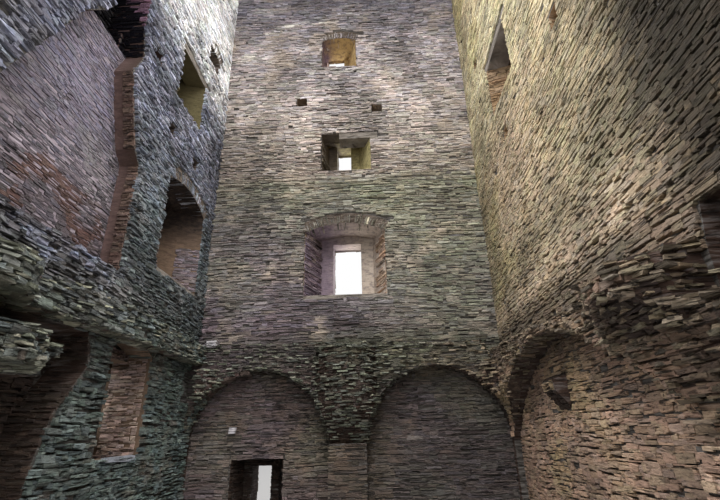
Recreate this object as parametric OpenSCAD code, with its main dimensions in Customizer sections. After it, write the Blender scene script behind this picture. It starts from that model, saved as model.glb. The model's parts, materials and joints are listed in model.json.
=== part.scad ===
// Roofless stone keep: rubble walls in storeys, and what is left of its groin vault
// Millimetres, +Z up, origin on the ground under the middle of the plan, +Y to the back

/* [Plan] */
// Clear width between the side walls above the vault
inner_w = 6400; // [6300:50:6600]
// Clear length between the front and back walls above the vault
inner_l = 12300; // [12200:50:12600]
// Thickness of the walls above the vault
wall_t = 1300; // [1250:50:1400]
// How far the ground storey walls are set back under the vault
panel_setback = 150; // [100:10:200]

/* [Levels] */
// Top of the ledge where the vault broke away
ledge_z = 4000; // [3950:10:4050]
// Foot of the second upper storey
second_z = 8050; // [8030:10:8100]
// Foot of the third upper storey
third_z = 10700; // [10640:10:10740]
// Foot of the ruined wall top
crest_z = 13600; // [13500:20:13700]

/* [Vault] */
// Height at which the vault springs
spring_z = 2080; // [2000:20:2120]
// Width of the wall pilasters
pilaster_w = 720; // [680:10:760]
// How far the vault remains stand proud of the upper walls
haunch_proud = 250; // [200:10:300]
// Reach of the broken springers from the wall
springer_reach = 650; // [600:10:700]
// Reach of the broken vault corners
corner_reach = 600; // [560:10:700]

/* [Openings] */
// Height of the slates set on edge round a niche head
ring_h = 260; // [220:10:280]
// Depth of those slates into the wall
ring_d = 420; // [360:10:480]
// Depth of a niche before the wall narrows to its window
niche_d = 800; // [750:10:850]
// How far a flat niche head climbs over that depth
head_climb = 300; // [200:10:320]
// Width of the doorway
door_w = 1150; // [1100:10:1200]
// Height of the doorway to the crown of its arch
door_h = 2250; // [2200:10:2300]

/* [Hidden] */
$fn = 240;

half_w = inner_w / 2;
half_l = inner_l / 2;
outer_w = inner_w + 2 * wall_t;
// A cut runs this far past the face that it opens
over = 5;

// Cross vault, seen as round arches on the back wall, and the long vault across it
cross_r = (half_w - pilaster_w / 2) / 2;
cross_x = pilaster_w / 2 + cross_r;
long_span = half_l - pilaster_w / 2;
long_r = (long_span * long_span / 4 + cross_r * cross_r) / (2 * cross_r);
long_y = pilaster_w / 2 + long_span / 2;
crown_z = spring_z + cross_r;

// Window bays of the back wall: place, width, foot and head of the niche, rise of its
// head, then place, width, foot and head of the window behind it
back_first = [-35, 1870, 5100, 6850, 230, -35, 690, 5180, 6640];
back_second = [20, 1240, 8300, 9250, 0, -90, 380, 8620, 9550];
back_third = [-145, 960, 11660, 12720, 110, -320, 520, 11980, 13090];
left_first = [4725, 1810, 5050, 7050, 230, 4725, 620, 5300, 6750];
left_second = [4205, 1210, 8600, 9860, 0, 4205, 380, 8900, 9600];
left_third = [5115, 690, 10760, 11250, 60, 5115, 340, 10830, 11180];
right_second = [-3550, 1400, 8200, 9400, 0, -3550, 380, 8500, 9300];
right_third = [-3600, 960, 11700, 12660, 110, -3600, 460, 11980, 12560];
ground_slit = [-1800, 1120, 520, 1830, 0, -1860, 400, 820, 1680];

// The skewed slit of the left ground wall
slit_y = 3650;
slit_niche_w = 1200;
slit_z = 1980;
slit_head = 3690;
slit_rise = 200;

// The fireplace in the left wall: two jambs, a hood that leans in, and the flue
hearth_z = 4550;
hearth_left = -250;
hearth_right = 2800;
hood_z = 8300;
flue_left = 1400;
flue_right = 2200;
flue_top = 9900;
flue_d = 650;
shaft_w = 450;
hearth_d = 380;
plaster_t = 60;

// The chimney stack is bonded into the left wall between these places
chimney_near = 1000;
chimney_far = 2600;

// The left ground wall is built in two lengths that meet here
left_joint = 2720;

// Where the lintel of the second back niche has broken away
lost_lintel = 440;
lost_lintel_h = 180;

lintel_h = 170;
lintel_d = 420;
lintel_bearing = 180;
sill_t = 90;
door_x = -cross_x;
door_step = 120;

// Sockets of the lost floor beams
socket_s = 270;
socket_d = 480;

slate_warm = [0.47, 0.41, 0.36];
slate_cool = [0.38, 0.38, 0.40];
slate_ochre = [0.52, 0.44, 0.34];
slate_dark = [0.30, 0.26, 0.24];
slate_edge = [0.42, 0.36, 0.31];
plaster = [0.50, 0.44, 0.42];
sill_stone = [0.44, 0.42, 0.40];

// Places children against a wall: x runs along it, y from its inner face outwards
module on_side(side) {
    if (side == "back") translate([0, half_l, 0]) children();
    if (side == "front") translate([0, -half_l, 0]) rotate([0, 0, 180]) children();
    if (side == "left") translate([-half_w, 0, 0]) rotate([0, 0, 90]) children();
    if (side == "right") translate([half_w, 0, 0]) rotate([0, 0, -90]) children();
}

function is_end(side) = side == "back" || side == "front";
function wall_length(side) = is_end(side) ? outer_w : inner_l;

// Raises a drawing of width and height, and gives it a depth away from the room
module upright(depth) {
    translate([0, depth, 0]) rotate([90, 0, 0]) linear_extrude(depth) children();
}

module wall_block(side, foot, head) {
    length = wall_length(side);
    translate([-length / 2, 0, foot]) cube([length, wall_t, head - foot]);
}

function arch_radius(w, rise) = (w * w / 4 + rise * rise) / (2 * rise);

// Outline of an opening that stands on y = 0, with a segmental head where it has a rise
module opening_outline(w, h, rise) {
    if (rise > 0) {
        r = arch_radius(w, rise);
        translate([-w / 2, 0]) square([w, h - rise]);
        intersection() {
            translate([0, h - r]) circle(r);
            translate([-w / 2, h - rise - over]) square([w, rise + 2 * over]);
        }
    } else {
        translate([-w / 2, 0]) square([w, h]);
    }
}

// Ring of slates round a segmental head, between the radial lines of its springing
module ring_outline(w, h, rise) {
    r = arch_radius(w, rise);
    spread = asin(w / 2 / r);
    reach = (r + ring_h) / cos(spread) + over;
    translate([0, h - r]) intersection() {
        difference() {
            circle(r + ring_h);
            circle(r);
        }
        polygon([[0, 0], [reach * sin(spread), reach * cos(spread)],
            [-reach * sin(spread), reach * cos(spread)]]);
    }
}

// A niche as a block as wide as its face: arched, or with a flat head that climbs outwards
module niche_block(w, h, rise, climb) {
    if (climb > 0) {
        translate([-w / 2, 0, 0]) rotate([90, 0, 90]) linear_extrude(w)
            polygon([[0, 0], [niche_d + over, 0], [niche_d + over, h + climb], [0, h]]);
    } else {
        upright(niche_d + over) opening_outline(w, h, rise);
    }
}

// A splayed niche and the window behind it, cut right through the wall
module window_bay(bay, climb = 0) {
    w = bay[1];
    h = bay[3] - bay[2];
    window_w = bay[6];
    back_w = (w + window_w) / 2;
    shift = bay[5] - bay[0];
    translate([bay[0], -over, bay[2]]) intersection() {
        niche_block(w, h, bay[4], climb);
        linear_extrude(h + climb + over) polygon([[-w / 2, 0], [w / 2, 0],
            [shift + back_w / 2, niche_d + over], [shift - back_w / 2, niche_d + over]]);
    }
    translate([bay[5] - window_w / 2, niche_d - over, bay[7]])
        cube([window_w, wall_t - niche_d + 2 * over, bay[8] - bay[7]]);
}

// The slates on edge over a niche
module niche_ring(bay) {
    translate([bay[0], 0, bay[2]]) upright(ring_d) ring_outline(bay[1], bay[3] - bay[2], bay[4]);
}

// A lintel, or what is left of it where a length has broken off its left end
module lintel(bay, lost = 0) {
    start = lost > 0 ? lost : -lintel_bearing;
    translate([bay[0] - bay[1] / 2 + start, 0, bay[3]])
        cube([bay[1] + lintel_bearing - start, lintel_d, lintel_h]);
}

// The hole that a lost lintel end left over the niche
module lost_lintel_hole(bay, lost) {
    translate([bay[0] - bay[1] / 2, -over, bay[3] - over])
        cube([lost, lintel_d + over, lost_lintel_h + over]);
}

// A flat slab under the niche, as wide as its face
module sill(bay) {
    translate([bay[0] - bay[1] / 2, 0, bay[2] - sill_t])
        cube([bay[1], niche_d / 2, sill_t]);
}

module socket(x, z) {
    translate([x - socket_s / 2, -over, z - socket_s / 2])
        cube([socket_s, socket_d + over, socket_s]);
}

// Everything the four vault bays once left open, as crossing barrels
module vault_void() {
    for (side_x = [-1, 1]) translate([side_x * cross_x, 0, spring_z]) rotate([90, 0, 0])
        cylinder(h = inner_l + 2 * wall_t, r = cross_r, center = true);
    for (side_y = [-1, 1]) translate([0, side_y * long_y, crown_z - long_r]) rotate([0, 90, 0])
        cylinder(h = inner_w + 2 * wall_t, r = long_r, center = true);
}

// Vault masonry along one wall, as deep as it stands proud, under a broken upper edge
// that is given as places along the wall and heights over the springing
module haunch(side, edge) {
    foot = [[edge[len(edge) - 1][0], 0], [edge[0][0], 0]];
    on_side(side) translate([0, -haunch_proud, spring_z])
        upright(haunch_proud) polygon(concat(edge, foot));
}

// The mass over one springing point, broken off at a reach from the wall
module broken_mass(x, y, reach, top) {
    difference() {
        translate([x, y, spring_z]) cylinder(h = top - spring_z, r = reach);
        vault_void();
    }
}

// Only the room inside the vault remains along the walls
module inside_haunches() {
    w = inner_w - 2 * haunch_proud;
    l = inner_l - 2 * haunch_proud;
    translate([-w / 2, -l / 2, 0]) cube([w, l, ledge_z]);
}

module pilaster(side) {
    on_side(side) translate([-pilaster_w / 2, -haunch_proud, 0])
        cube([pilaster_w, haunch_proud + panel_setback, spring_z]);
}

module vault_corner(side_x, side_y) {
    intersection() {
        broken_mass(side_x * half_w, side_y * half_l, corner_reach, crown_z);
        inside_haunches();
    }
}

// Ground storey wall with its inner face set back under the wall arches
module ground_wall(side) {
    on_side(side) difference() {
        wall_block(side, 0, ledge_z);
        children();
    }
}

// Recess under one round wall arch of an end wall
module end_panel(side_x) {
    translate([side_x * cross_x, -over, 0]) {
        upright(panel_setback + over) union() {
            translate([0, spring_z]) circle(cross_r);
            translate([-cross_r, -over]) square([2 * cross_r, spring_z + over]);
        }
    }
}

// Recess under one long segmental wall arch of a side wall
module long_panel(side_x) {
    translate([side_x * long_y, -over, 0]) upright(panel_setback + over) union() {
        intersection() {
            translate([0, crown_z - long_r]) circle(long_r);
            translate([-long_span / 2, spring_z - over]) square([long_span, cross_r + 2 * over]);
        }
        translate([-long_span / 2, -over]) square([long_span, spring_z + over]);
    }
}

module door_outline() {
    r = door_w / 2;
    translate([0, door_h - r]) circle(r);
    translate([-r, -over]) square([door_w, door_h - r + over]);
}

module door_ring_outline() {
    r = door_w / 2;
    difference() {
        translate([0, door_h - r]) circle(r + ring_h);
        translate([0, door_h - r]) circle(r);
        translate([-r - ring_h - over, -over]) square([door_w + 2 * ring_h + 2 * over, door_h - r + over]);
    }
}

module ground_wall_back() {
    color(slate_dark) ground_wall("back") {
        end_panel(-1);
        end_panel(1);
        window_bay(ground_slit);
    }
}

module ground_wall_front() {
    color(slate_dark) ground_wall("front") {
        end_panel(-1);
        end_panel(1);
        translate([door_x, -over, 0]) upright(wall_t + 2 * over) door_outline();
        translate([door_x, panel_setback, 0]) upright(ring_d) door_ring_outline();
        translate([door_x, wall_t - ring_d, 0]) upright(ring_d) door_ring_outline();
    }
}

// The skewed slit: an arched niche at the room face, then a slot that turns to the corner
module skewed_slit() {
    near = -slit_niche_w / 2;
    translate([slit_y, -over, slit_z]) {
        upright(ring_d + 2 * over) opening_outline(slit_niche_w, slit_head - slit_z, slit_rise);
        translate([0, 0, 40]) linear_extrude(slit_head - slit_z - slit_rise - 80)
            polygon([[near + 60, 200], [-near - 10, 200], [770, 900], [330, 900]]);
        translate([0, 0, 350]) linear_extrude(850)
            polygon([[300, 800], [680, 800], [900, wall_t + 2 * over], [500, wall_t + 2 * over]]);
    }
}

// Hollow where the middle pilaster was robbed out of the left wall
module robbed_hollow() {
    translate([0, -over, 0]) upright(520) polygon([[-900, 250], [1750, 250], [1890, 1900],
        [2080, 2530], [2560, 3150], [2420, 3560], [400, 3500], [300, 3220], [1600, 3200],
        [1700, 2900], [-300, 2850], [-900, 2100]]);
}

// Hollow in the right wall where the heart of the springer fell out
module fallen_springer() {
    translate([0, -haunch_proud - over, 0]) upright(haunch_proud + 600)
        polygon([[50, 3050], [1000, 3000], [1100, 3600], [900, 3840], [130, 3850], [60, 3500]]);
}

// Stump of a corbel on the panel of the right wall
module corbel_stump() {
    translate([-3850, panel_setback, 0]) rotate([90, 0, 90]) linear_extrude(420)
        polygon([[over, 2980], [-230, 2900], [-210, 2760], [over, 2500]]);
}

module ground_wall_left_near() {
    color(slate_dark) on_side("left") difference() {
        translate([-half_l, 0, 0]) cube([half_l + left_joint, wall_t, ledge_z]);
        long_panel(-1);
        robbed_hollow();
    }
}

module ground_wall_left_far() {
    color(slate_dark) on_side("left") difference() {
        translate([left_joint, 0, 0]) cube([half_l - left_joint, wall_t, ledge_z]);
        skewed_slit();
        translate([slit_y, 0, slit_z]) upright(ring_d)
            ring_outline(slit_niche_w, slit_head - slit_z, slit_rise);
    }
}

module ground_wall_right() {
    color(slate_dark) {
        ground_wall("right") {
            long_panel(-1);
            long_panel(1);
            fallen_springer();
        }
        on_side("right") corbel_stump();
    }
}

// A storey wall with its window bays, rings, lintels and sills let in
module storey_wall(side, foot, head, arched, flat, lost = 0) {
    on_side(side) difference() {
        wall_block(side, foot, head);
        for (bay = arched) {
            window_bay(bay);
            niche_ring(bay);
        }
        for (bay = flat) {
            window_bay(bay, head_climb);
            lintel(bay, lost);
        }
        children();
    }
}

module first_wall_back() {
    color(slate_warm) storey_wall("back", ledge_z, second_z, [back_first], [])
        on_side_sills([back_first]);
}

// Pockets that the sills fill
module on_side_sills(bays) {
    for (bay = bays) sill(bay);
}

module first_wall_front() {
    color(slate_warm) storey_wall("front", ledge_z, second_z, [back_first], [])
        on_side_sills([back_first]);
}

// Its hood leans in from the left, and its right jamb is worn into a scallop
module fireplace_outline() {
    polygon([[hearth_left, hearth_z], [hearth_right, hearth_z], [hearth_right, 6400],
        [2600, 6600], [2310, 7340], [2150, 7820], [2350, hood_z], [flue_right, 8750],
        [flue_left + 250, 8800], [1260, 8110], [920, 7700], [630, 6990], [440, 6580],
        [110, 5800], [hearth_left, 5000]]);
}

module first_wall_left() {
    color(slate_cool) storey_wall("left", ledge_z, second_z, [left_first], []) {
        translate([0, -over, 0]) upright(hearth_d + over) fireplace_outline();
        on_side_sills([left_first]);
        socket(3650, 7780);
        socket(4830, 7730);
    }
}

module first_wall_right() {
    color(slate_ochre) storey_wall("right", ledge_z, second_z, [], []) {
        socket(-3720, 7440);
        socket(-1200, 7440);
        socket(1300, 7440);
    }
}

module second_wall_back() {
    color(slate_warm) storey_wall("back", second_z, third_z, [], [back_second], lost_lintel) {
        lost_lintel_hole(back_second, lost_lintel);
        socket(-1145, 10460);
        socket(845, 10180);
    }
}

module second_wall_front() {
    color(slate_warm) storey_wall("front", second_z, third_z, [], [back_second]) {
        socket(-1145, 10320);
        socket(845, 10320);
    }
}

module second_wall_left() {
    color(slate_cool) storey_wall("left", second_z, third_z, [], [left_second]) {
        chimney_bay();
        socket(2760, 8740);
    }
}

module second_wall_right() {
    color(slate_ochre) storey_wall("right", second_z, third_z, [], [right_second]) {
        socket(-4900, 10300);
        socket(-1200, 10300);
        socket(1300, 10300);
    }
}

module third_wall_back() {
    color(slate_warm) storey_wall("back", third_z, crest_z, [back_third], []);
}

module third_wall_front() {
    color(slate_warm) storey_wall("front", third_z, crest_z, [back_third], []);
}

module third_wall_left() {
    color(slate_cool) storey_wall("left", third_z, crest_z, [left_third], []) chimney_bay();
}

module third_wall_right() {
    color(slate_ochre) storey_wall("right", third_z, crest_z, [right_third], []);
}

// Ruined wall top: its ragged outline, given as place along the wall and height
module ruined_top(side, outline) {
    length = wall_length(side);
    on_side(side) upright(wall_t)
        polygon(concat([[length / 2, crest_z], [-length / 2, crest_z]], outline));
}

module ruined_top_back() {
    color(slate_warm) ruined_top("back", [[-outer_w / 2, 15750], [-3900, 16100], [-3300, 15900],
        [-2700, 15300], [-1500, 15150], [-900, 15500], [200, 15350], [900, 14950],
        [1900, 15200], [2600, 15700], [3400, 16400], [outer_w / 2, 16500]]);
}

module ruined_top_front() {
    color(slate_warm) ruined_top("front", [[-outer_w / 2, 15500], [-3600, 15250], [-2800, 14700],
        [-1700, 14450], [-600, 14750], [400, 14600], [1300, 15050], [2400, 15350],
        [3500, 15900], [outer_w / 2, 15800]]);
}

module ruined_top_left() {
    color(slate_cool) difference() {
        ruined_top("left", [[-inner_l / 2, 15800], [-5200, 15400], [-4100, 15050], [-2700, 14600],
            [-1200, 14850], [300, 15300], [1100, 15900], [2400, 15850], [3100, 15200],
            [4600, 15350], [5600, 15700], [inner_l / 2, 15750]]);
        on_side("left") chimney_bay();
    }
}

// The gap in the upper left walls that the chimney stack fills
module chimney_bay() {
    translate([chimney_near, -over, second_z])
        cube([chimney_far - chimney_near, wall_t + 2 * over, 9000]);
}

// The upper part of the fireplace hood, where the flue is open to the room
module chimney_hood_left() {
    color(slate_cool) on_side("left") difference() {
        translate([chimney_near, 0, second_z])
            cube([chimney_far - chimney_near, wall_t, flue_top - second_z]);
        translate([0, -over, 0]) upright(hearth_d + over) fireplace_outline();
        translate([flue_left, -over, hood_z])
            cube([flue_right - flue_left, flue_d + over, flue_top - hood_z + over]);
    }
}

// The stack over it, with the flue inside, up to its ruined top
module chimney_stack_left() {
    color(slate_cool) on_side("left") difference() {
        upright(wall_t) polygon([[chimney_far, flue_top], [chimney_near, flue_top],
            [chimney_near, 15800], [1300, 15950], [2300, 15900], [chimney_far, 15650]]);
        translate([flue_left + 150, flue_d - shaft_w, flue_top - over])
            cube([shaft_w, shaft_w, 9000]);
    }
}

module ruined_top_right() {
    color(slate_ochre) ruined_top("right", [[-inner_l / 2, 15400], [-5300, 15350], [-4500, 15450],
        [-3400, 15420], [-2300, 15600], [-1100, 15650], [300, 15400], [1600, 14950],
        [2900, 14800], [4300, 15150], [inner_l / 2, 15500]]);
}

// The right end has fallen out of the corner
module vault_haunch_back() {
    color(slate_dark) difference() {
        haunch("back", [[2930, 1300], [2850, 1620], [2700, 1880], [2000, 1810], [1300, 1880],
            [300, 1920], [-900, 1910], [-2600, 1920], [-half_w, 1870]]);
        vault_void();
    }
}

module vault_haunch_front() {
    color(slate_dark) difference() {
        haunch("front", [[half_w, 1800], [2300, 1900], [900, 1850], [-400, 1920],
            [-2100, 1860], [-half_w, 1780]]);
        vault_void();
    }
}

// On the left the ledge over the slit, the stub over the robbed hollow and the near arch are left
module vault_haunch_left() {
    reach = half_l - haunch_proud;
    color(slate_dark) difference() {
        haunch("left", [[reach, 1890], [3900, 1920], [2400, 1915], [1500, 1870], [1250, 1780],
            [300, 1790], [-600, 1850], [-2500, 1900], [-reach, 1870]]);
        vault_void();
        on_side("left") translate([0, -haunch_proud - over, 0]) upright(haunch_proud + 2 * over)
            polygon([[-400, 2000], [-400, 2850], [700, 2880], [1700, 2900], [1620, 3190],
                [330, 3220], [430, 3500], [2400, 3590], [reach + over, 3620], [reach + over, 2000]]);
    }
}

module vault_haunch_right() {
    reach = half_l - haunch_proud;
    color(slate_dark) difference() {
        haunch("right", [[reach, 1880], [2600, 1860], [1250, 1780], [1120, 960], [40, 960],
            [-50, 1500], [-700, 1420], [-1800, 1430], [-2600, 1480], [-3500, 1560],
            [-4800, 1620], [-reach, 1680]]);
        vault_void();
    }
}

module wall_pilasters() {
    color(slate_dark) for (side = ["back", "front", "right"]) pilaster(side);
}

module springer_back() {
    color(slate_dark) intersection() {
        broken_mass(0, half_l, springer_reach, ledge_z - 120);
        inside_haunches();
    }
}

module springer_front() {
    color(slate_dark) intersection() {
        broken_mass(0, -half_l, springer_reach, ledge_z - 200);
        inside_haunches();
    }
}

// Two lumps of the left springer hang on after the pilaster under them was robbed
module springer_left() {
    color(slate_dark) intersection() {
        union() {
            translate([-half_w, 250, 3500]) cylinder(h = 350, r = springer_reach);
            translate([-half_w, 550, 2890]) cylinder(h = 320, r = springer_reach);
        }
        inside_haunches();
    }
}

// The right springer is a stub on the far side of its fallen heart
module springer_right() {
    color(slate_dark) intersection() {
        broken_mass(half_w, 500, springer_reach, 3480);
        inside_haunches();
        translate([0, -40, 0]) cube([half_w, half_l, ledge_z]);
    }
}

module vault_corner_back_left() {
    color(slate_dark) vault_corner(-1, 1);
}

module vault_corner_back_right() {
    color(slate_dark) vault_corner(1, 1);
}

module vault_corner_front_left() {
    color(slate_dark) vault_corner(-1, -1);
}

module vault_corner_front_right() {
    color(slate_dark) vault_corner(1, -1);
}

module niche_arch_first_back() {
    color(slate_edge) on_side("back") niche_ring(back_first);
}

module niche_arch_first_left() {
    color(slate_edge) on_side("left") niche_ring(left_first);
}

module niche_arch_first_front() {
    color(slate_edge) on_side("front") niche_ring(back_first);
}

module niche_arch_ground_left() {
    color(slate_edge) on_side("left") translate([slit_y, 0, slit_z]) upright(ring_d)
        ring_outline(slit_niche_w, slit_head - slit_z, slit_rise);
}

module second_storey_lintels() {
    color(sill_stone) {
        on_side("back") lintel(back_second, lost_lintel);
        on_side("front") lintel(back_second);
        on_side("left") lintel(left_second);
        on_side("right") lintel(right_second);
    }
}

module third_storey_arches() {
    color(slate_edge) {
        on_side("back") niche_ring(back_third);
        on_side("front") niche_ring(back_third);
        on_side("left") niche_ring(left_third);
        on_side("right") niche_ring(right_third);
    }
}

module sills() {
    color(sill_stone) {
        on_side("back") sill(back_first);
        on_side("front") sill(back_first);
        on_side("left") sill(left_first);
        on_side("front") translate([door_x - door_w / 2, panel_setback, 0])
            cube([door_w, wall_t - panel_setback, door_step]);
    }
}

module door_arch() {
    color(slate_edge) on_side("front") {
        translate([door_x, panel_setback, 0]) upright(ring_d) door_ring_outline();
        translate([door_x, wall_t - ring_d, 0]) upright(ring_d) door_ring_outline();
    }
}

// Smoke-stained plaster on the back of the fireplace
module fireplace_back() {
    color(plaster) on_side("left") translate([0, hearth_d - plaster_t, 0]) upright(plaster_t)
        difference() {
            fireplace_outline();
            translate([hearth_left, hood_z]) square([hearth_right - hearth_left, flue_top - hood_z]);
        }
}

ground_wall_back();
ground_wall_front();
ground_wall_right();
ground_wall_left_near();
ground_wall_left_far();
first_wall_back();
first_wall_front();
first_wall_left();
first_wall_right();
second_wall_back();
second_wall_front();
second_wall_left();
second_wall_right();
third_wall_back();
third_wall_front();
third_wall_left();
third_wall_right();
ruined_top_back();
ruined_top_front();
ruined_top_left();
ruined_top_right();
chimney_hood_left();
chimney_stack_left();
vault_haunch_back();
vault_haunch_front();
vault_haunch_left();
vault_haunch_right();
wall_pilasters();
springer_back();
springer_front();
springer_left();
springer_right();
vault_corner_back_left();
vault_corner_back_right();
vault_corner_front_left();
vault_corner_front_right();
niche_arch_first_back();
niche_arch_first_left();
niche_arch_first_front();
niche_arch_ground_left();
second_storey_lintels();
third_storey_arches();
sills();
door_arch();
fireplace_back();
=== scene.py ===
"""Looks of a roofless slate keep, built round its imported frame. Metres, +Z up, +Y to the back wall."""
import json
import math
import random
from collections import namedtuple

import bpy
from mathutils import Euler, Matrix, Vector, noise
from mathutils.bvhtree import BVHTree


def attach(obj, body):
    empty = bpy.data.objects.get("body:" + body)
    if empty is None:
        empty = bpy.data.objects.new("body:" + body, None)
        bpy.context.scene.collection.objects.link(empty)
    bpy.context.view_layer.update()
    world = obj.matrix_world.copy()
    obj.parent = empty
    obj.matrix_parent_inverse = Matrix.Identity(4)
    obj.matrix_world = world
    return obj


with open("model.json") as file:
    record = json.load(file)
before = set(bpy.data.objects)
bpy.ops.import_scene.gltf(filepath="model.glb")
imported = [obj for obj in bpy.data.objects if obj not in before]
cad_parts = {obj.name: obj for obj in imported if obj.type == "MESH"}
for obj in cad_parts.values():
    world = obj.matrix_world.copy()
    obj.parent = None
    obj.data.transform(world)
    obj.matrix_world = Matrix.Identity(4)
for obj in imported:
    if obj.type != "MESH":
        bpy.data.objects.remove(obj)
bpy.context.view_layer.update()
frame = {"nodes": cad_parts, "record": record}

UP = Vector((0, 0, 1))
HALF_W = 3.2
HALF_L = 6.15
WALL = 1.3
TOP = 16.6
LEDGE = 4.0
STOREYS = {"ground": (0.01, LEDGE), "first": (LEDGE, 8.05), "second": (8.05, 10.7), "third": (10.7, TOP)}
random.seed(7)

# The eye stands in the keep and looks up at the back wall
EYE = (0.64, -3.35, 2.2)
EYE_TURN = (112.56, 1.22, 2.48)
LENS = 22.44


def make_camera():
    data = bpy.data.cameras.new("camera")
    data.sensor_fit = "HORIZONTAL"
    data.sensor_width = 36.0
    data.lens = LENS
    data.clip_end = 500.0
    camera = bpy.data.objects.new("camera", data)
    camera.location = EYE
    camera.rotation_euler = Euler([math.radians(a) for a in EYE_TURN], "XYZ")
    bpy.context.collection.objects.link(camera)
    bpy.context.scene.camera = camera


def linear(color):
    """A colour of 0 to 255, as a picture shows it, in Blender's linear values."""
    return tuple((c / 255 / 12.92) if c < 10.3 else ((c / 255 + 0.055) / 1.055) ** 2.4 for c in color)


def mixed(a, b, share):
    return tuple(x + (y - x) * share for x, y in zip(a, b))


def steps(place, stops):
    """The colour at a place between stops of place and colour."""
    if place <= stops[0][0]:
        return stops[0][1]
    for (low, first), (high, second) in zip(stops, stops[1:]):
        if place < high:
            return mixed(first, second, (place - low) / (high - low))
    return stops[-1][1]


def smooth(value, low, high):
    share = min(max((value - low) / (high - low), 0.0), 1.0)
    return share * share * (3 - 2 * share)


class Nodes:
    """Short words for making the node tree of a material or of the sky."""

    def __init__(self, owner):
        self.owner = owner
        owner.use_nodes = True
        self.tree = owner.node_tree
        self.tree.nodes.clear()

    def add(self, kind, inputs=None, **values):
        node = self.tree.nodes.new(kind)
        for key, value in values.items():
            setattr(node, key, value)
        for key, value in (inputs or {}).items():
            node.inputs[key].default_value = value
        return node

    def link(self, source, target):
        self.tree.links.new(source, target)

    def coords(self, scale):
        """Object coordinates stretched by a scale on each axis."""
        place = self.add("ShaderNodeTexCoord")
        mapping = self.add("ShaderNodeMapping", {"Scale": scale})
        self.link(place.outputs["Object"], mapping.inputs["Vector"])
        return mapping.outputs["Vector"]

    def noise(self, scale, detail=4.0, rough=0.55, stretch=(1, 1, 1), bend=0.0):
        inputs = {"Scale": scale, "Detail": detail, "Roughness": rough, "Distortion": bend}
        node = self.add("ShaderNodeTexNoise", inputs)
        self.link(self.coords(stretch), node.inputs["Vector"])
        return node.outputs["Fac"]

    def ramp(self, source, stops):
        node = self.add("ShaderNodeValToRGB")
        points = node.color_ramp.elements
        while len(points) < len(stops):
            points.new(0.5)
        for point, (place, color) in zip(points, stops):
            point.position = place
            point.color = (*color, 1.0)
        self.link(source, node.inputs["Fac"])
        return node.outputs["Color"]

    def spread(self, source, low, high, to_low=0.0, to_high=1.0):
        inputs = {"From Min": low, "From Max": high, "To Min": to_low, "To Max": to_high}
        node = self.add("ShaderNodeMapRange", inputs)
        self.link(source, node.inputs["Value"])
        return node.outputs["Result"]

    def calc(self, kind, a, b):
        """A sum, product or the like of two values or sockets."""
        node = self.add("ShaderNodeMath", operation=kind)
        for socket, value in zip(node.inputs, (a, b)):
            if isinstance(value, (int, float)):
                socket.default_value = value
            else:
                self.link(value, socket)
        return node.outputs[0]

    def mix(self, fac, a, b, how="MIX"):
        node = self.add("ShaderNodeMix", data_type="RGBA", blend_type=how)
        for socket, value in ((node.inputs[0], fac), (node.inputs[6], a), (node.inputs[7], b)):
            if isinstance(value, (int, float)):
                socket.default_value = value
            elif isinstance(value, tuple):
                socket.default_value = (*value, 1.0)
            else:
                self.link(value, socket)
        return node.outputs[2]

    def finish(self, color, roughness, bump, strength=0.6, distance=0.02):
        inputs = {"Roughness": roughness, "Specular IOR Level": 0.25}
        shader = self.add("ShaderNodeBsdfPrincipled", inputs)
        self.link(color, shader.inputs["Base Color"])
        node = self.add("ShaderNodeBump", {"Strength": strength, "Distance": distance})
        self.link(bump, node.inputs["Height"])
        self.link(node.outputs["Normal"], shader.inputs["Normal"])
        out = self.add("ShaderNodeOutputMaterial")
        self.link(shader.outputs["BSDF"], out.inputs["Surface"])
        return self.owner


# Painted shade for slits and pits that the materials draw on flat faces
SLIT_SHADE = (0.012, 0.010, 0.009)
PIT_SHADE = (0.02, 0.017, 0.015)


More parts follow.
